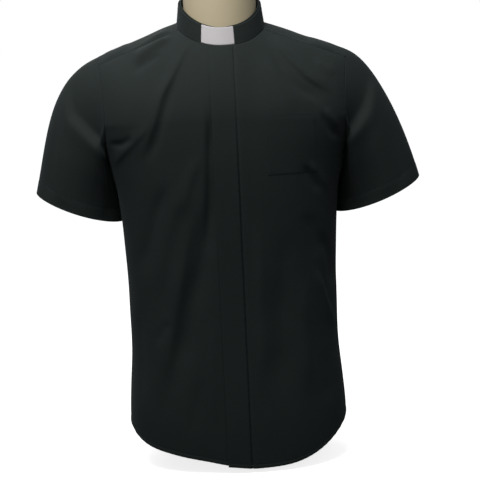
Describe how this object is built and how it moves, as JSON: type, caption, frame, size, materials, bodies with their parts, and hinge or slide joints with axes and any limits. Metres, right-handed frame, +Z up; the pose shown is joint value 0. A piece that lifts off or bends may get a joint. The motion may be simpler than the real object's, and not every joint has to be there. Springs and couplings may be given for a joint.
{
  "type": "clergy shirt on a torso display form",
  "caption": "Black short-sleeved clergy shirt with a white collar tab, worn by a limbless torso display form on a small round stand.",
  "frame": {"origin": "centre of the stand's underside, on the surface that the part stands on", "axes": "+Z up, the shirt's front faces -Y, +X to the viewer's right and the wearer's left"},
  "size_m": [0.6532, 0.2478, 0.814],
  "materials": {
    "black_poplin": "matte",
    "white_tab": "satin",
    "form_shell": "matte",
    "stand_paint": "satin"
  },
  "bodies": {
    "root": {"front_right": "black_poplin", "front_left": "black_poplin", "fly_band": "black_poplin", "back": "black_poplin", "yoke": "black_poplin", "sleeve_right": "black_poplin", "sleeve_left": "black_poplin", "collar_stand": "black_poplin", "collar_band": "black_poplin", "collar_tab": "white_tab", "chest_pocket": "black_poplin", "form_torso": "form_shell", "form_pole": "stand_paint", "form_base": "stand_paint"}
  },
  "joints": []
}
